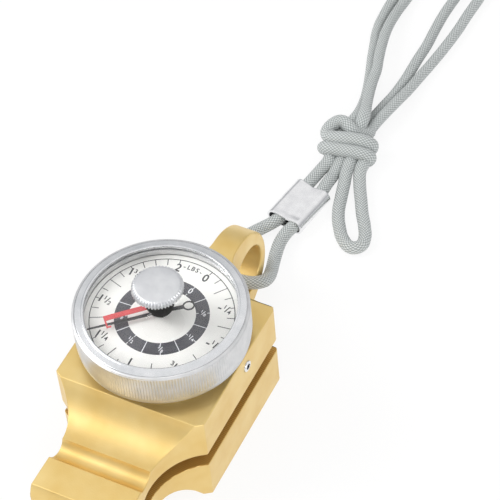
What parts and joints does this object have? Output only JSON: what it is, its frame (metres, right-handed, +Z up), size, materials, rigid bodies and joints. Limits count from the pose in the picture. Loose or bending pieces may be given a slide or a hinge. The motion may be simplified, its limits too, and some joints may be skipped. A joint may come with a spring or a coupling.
{
  "type": "pinch gauge",
  "caption": "Pinch gauge with a C-shaped gold anodised spring body, a knurled dial indicator with a reset knob on its upper arm, and a braided wrist cord through its ring.",
  "frame": {"origin": "middle of the gauge's footprint without the cord, on the surface that the lower arm lies on", "axes": "+Y along the gauge from the nose to the ring, +Z up through the dial, +X across the gauge"},
  "size_m": [0.0587, 0.3288, 0.067],
  "materials": {
    "gold_aluminium": "satin gold anodised",
    "satin_rim": "satin, straight knurl",
    "steel": "turned",
    "bright_screw": "plated",
    "brass": "turned",
    "black_plastic": "moulded",
    "black_hand": "matt black",
    "red_hand": "matt red",
    "dial_print": "matt white with a printed scale",
    "clear_window": "polished clear plastic",
    "grey_cord": "braided",
    "bright_sleeve": "bright drawn"
  },
  "bodies": {
    "lower_half": {"lower_arm": "gold_aluminium", "cord_eye_loop": "grey_cord", "wrist_loop_outer": "grey_cord", "wrist_loop_inner": "grey_cord", "cord_bight": "grey_cord", "ferrule": "bright_sleeve", "knot": "grey_cord"},
    "upper_half": {"upper_arm": "gold_aluminium", "set_screw": "bright_screw", "indicator_case": "steel", "stem": "steel", "plunger_spring": "steel", "movement_plate_lower": "brass", "movement_plate_upper": "brass", "movement_pillar_1": "brass", "movement_pillar_2": "brass", "movement_pillar_3": "brass", "movement_screw_1": "steel", "movement_screw_2": "steel", "movement_screw_3": "steel", "hairspring": "steel"},
    "plunger_rod": {"plunger": "steel", "contact_point": "steel"},
    "rack_shaft": {"rack_arbor": "steel", "crown_gear": "brass"},
    "pointer_shaft": {"centre_arbor": "steel", "centre_pinion": "brass", "pointer": "black_hand"},
    "rim": {"bezel": "satin_rim", "bezel_ring": "satin_rim", "crystal": "clear_window", "dial_face": "dial_print", "knob_bushing": "black_plastic"},
    "reset": {"reset_knob": "satin_rim", "knob_spindle": "black_plastic", "max_hand": "red_hand"}
  },
  "joints": [
    {"name": "pinch", "type": "hinge", "parent": "lower_half", "child": "upper_half", "pos_m": [0, 0.0611, 0.01905], "axis": [1, 0, 0], "range_deg": [0, 2.06], "stiffness_Nm_per_rad": 30},
    {"name": "plunger_travel", "type": "slide", "parent": "upper_half", "child": "plunger_rod", "axis": [0, 0, 1], "range_m": [0, 0.0022], "deforming": ["plunger_spring"]},
    {"name": "rack_shaft_turn", "type": "hinge", "parent": "upper_half", "child": "rack_shaft", "pos_m": [0, 0.0051, 0.0451], "axis": [0, 1, 0], "range_deg": [0, 75]},
    {"name": "pointer_turn", "type": "hinge", "parent": "upper_half", "child": "pointer_shaft", "pos_m": [0, 0.0004, 0.0521], "axis": [0, 0, -1], "range_deg": [0, 335]},
    {"name": "bezel_turn", "type": "hinge", "parent": "upper_half", "child": "rim", "pos_m": [0, 0.0004, 0.0491], "axis": [0, 0, 1], "continuous": true},
    {"name": "reset_turn", "type": "hinge", "parent": "rim", "child": "reset", "pos_m": [0, 0.0004, 0.0655], "axis": [0, 0, 1], "continuous": true}
  ],
  "couplings": [
    {"joint": "plunger_travel", "follows": "pinch", "m_per_rad": 0.056},
    {"joint": "rack_shaft_turn", "follows": "pinch", "ratio": 35},
    {"joint": "pointer_turn", "follows": "pinch", "ratio": 160.3}
  ]
}
